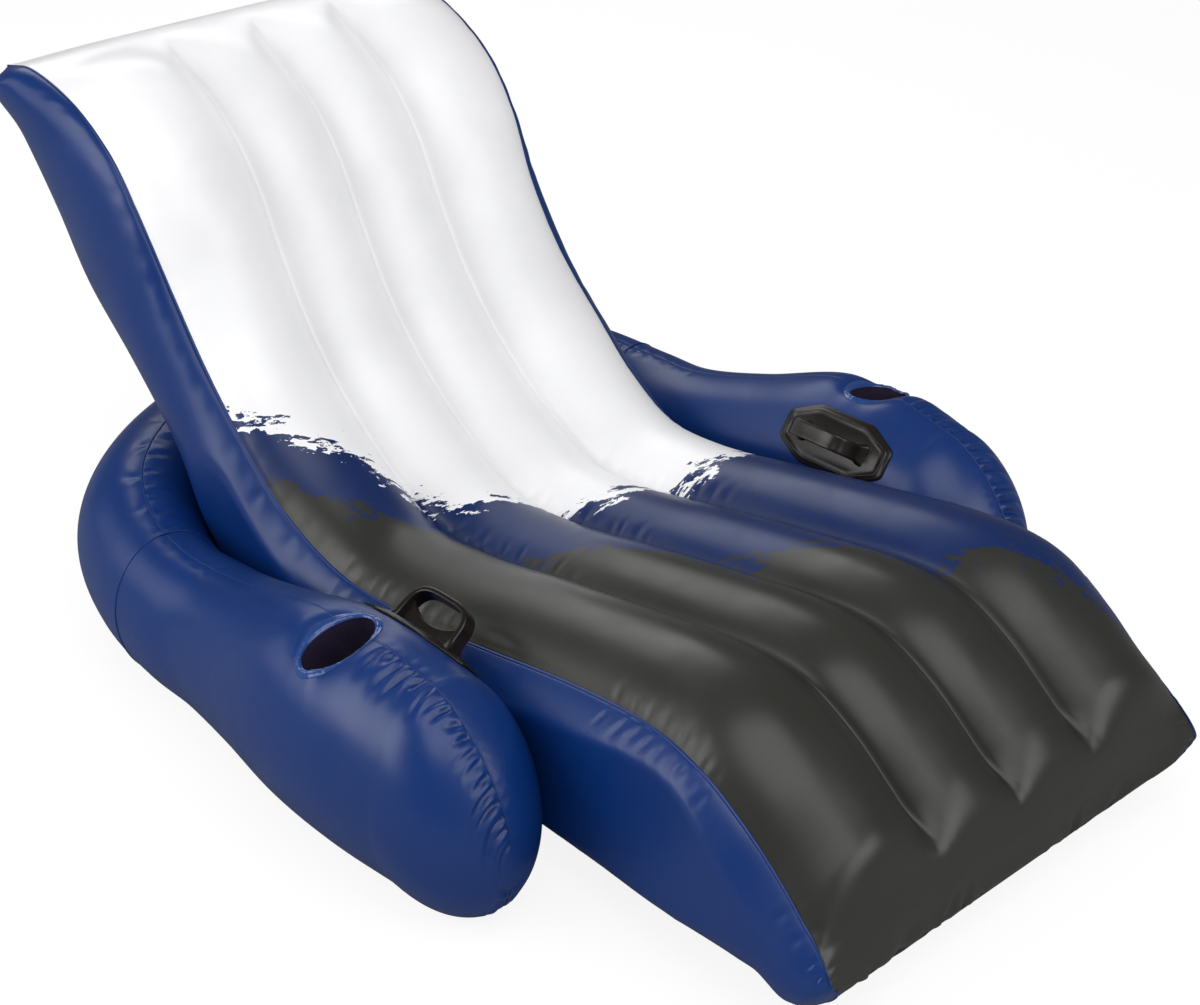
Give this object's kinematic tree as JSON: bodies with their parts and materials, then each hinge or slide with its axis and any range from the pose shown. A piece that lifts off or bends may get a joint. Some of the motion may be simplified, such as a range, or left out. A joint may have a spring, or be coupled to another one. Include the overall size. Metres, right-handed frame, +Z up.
{
  "type": "inflatable pool chair",
  "caption": "Inflatable vinyl pool recliner with a channelled lounge, horseshoe armrests, cup holders and grab handles.",
  "frame": {"origin": "centre of the box round the chair, on the floor", "axes": "+Z up, -Y the way the sitter faces, +X to the sitter's left"},
  "size_m": [1.2394, 1.7626, 0.8155],
  "materials": {
    "printed_vinyl": "satin printed PVC film",
    "navy_vinyl": "satin PVC film",
    "black_vinyl": "satin PVC film",
    "moulded_vinyl": "moulded soft PVC",
    "valve_vinyl": "moulded soft PVC"
  },
  "bodies": {
    "chair": {"lounge_top_sheet": "printed_vinyl", "lounge_bottom_sheet": "navy_vinyl", "lounge_right_gusset": "navy_vinyl", "lounge_left_gusset": "navy_vinyl", "lounge_right_web": "navy_vinyl", "lounge_centre_web": "navy_vinyl", "lounge_left_web": "navy_vinyl", "back_tube_outer_panel": "navy_vinyl", "back_tube_inner_panel": "navy_vinyl", "right_arm_outer_panel": "navy_vinyl", "right_arm_inner_panel": "navy_vinyl", "right_weld_patch": "navy_vinyl", "right_cup_well": "black_vinyl", "right_cup_rim": "navy_vinyl", "right_handle_base": "moulded_vinyl", "right_handle_grip": "moulded_vinyl", "left_arm_outer_panel": "navy_vinyl", "left_arm_inner_panel": "navy_vinyl", "left_weld_patch": "navy_vinyl", "left_cup_well": "black_vinyl", "left_cup_rim": "navy_vinyl", "left_handle_base": "moulded_vinyl", "left_handle_grip": "moulded_vinyl", "lounge_valve_flange": "navy_vinyl", "ring_valve_flange": "navy_vinyl"},
    "lounge_valve_stem_body": {"lounge_valve_stem": "valve_vinyl"},
    "lounge_valve_cap_body": {"lounge_valve_cap": "valve_vinyl"},
    "lounge_valve_flap_body": {"lounge_valve_flap": "valve_vinyl"},
    "ring_valve_stem_body": {"ring_valve_stem": "valve_vinyl"},
    "ring_valve_cap_body": {"ring_valve_cap": "valve_vinyl"},
    "ring_valve_flap_body": {"ring_valve_flap": "valve_vinyl"}
  },
  "joints": [
    {"name": "lounge_valve_stem_slide", "type": "slide", "parent": "chair", "child": "lounge_valve_stem_body", "axis": [0, -0.8338, 0.5521], "range_m": [0, 0.0095]},
    {"name": "lounge_valve_cap_hinge", "type": "hinge", "parent": "lounge_valve_stem_body", "child": "lounge_valve_cap_body", "pos_m": [0.09375, 0.78028, 0.52538], "axis": [0, -0.5521, -0.8338], "range_deg": [0, 150]},
    {"name": "lounge_valve_flap_hinge", "type": "hinge", "parent": "lounge_valve_stem_body", "child": "lounge_valve_flap_body", "pos_m": [0.08425, 0.76073, 0.53833], "axis": [0, 0.5521, 0.8338], "range_deg": [0, 60], "stiffness_Nm_per_rad": 0.002},
    {"name": "ring_valve_stem_slide", "type": "slide", "parent": "chair", "child": "ring_valve_stem_body", "axis": [0, -0.8579, -0.5138], "range_m": [0, 0.0095]},
    {"name": "ring_valve_cap_hinge", "type": "hinge", "parent": "ring_valve_stem_body", "child": "ring_valve_cap_body", "pos_m": [0.0175, 0.76216, 0.22354], "axis": [0, 0.5138, -0.8579], "range_deg": [0, 150]},
    {"name": "ring_valve_flap_hinge", "type": "hinge", "parent": "ring_valve_stem_body", "child": "ring_valve_flap_body", "pos_m": [0.008, 0.74204, 0.21149], "axis": [0, -0.5138, 0.8579], "range_deg": [0, 60], "stiffness_Nm_per_rad": 0.002}
  ]
}
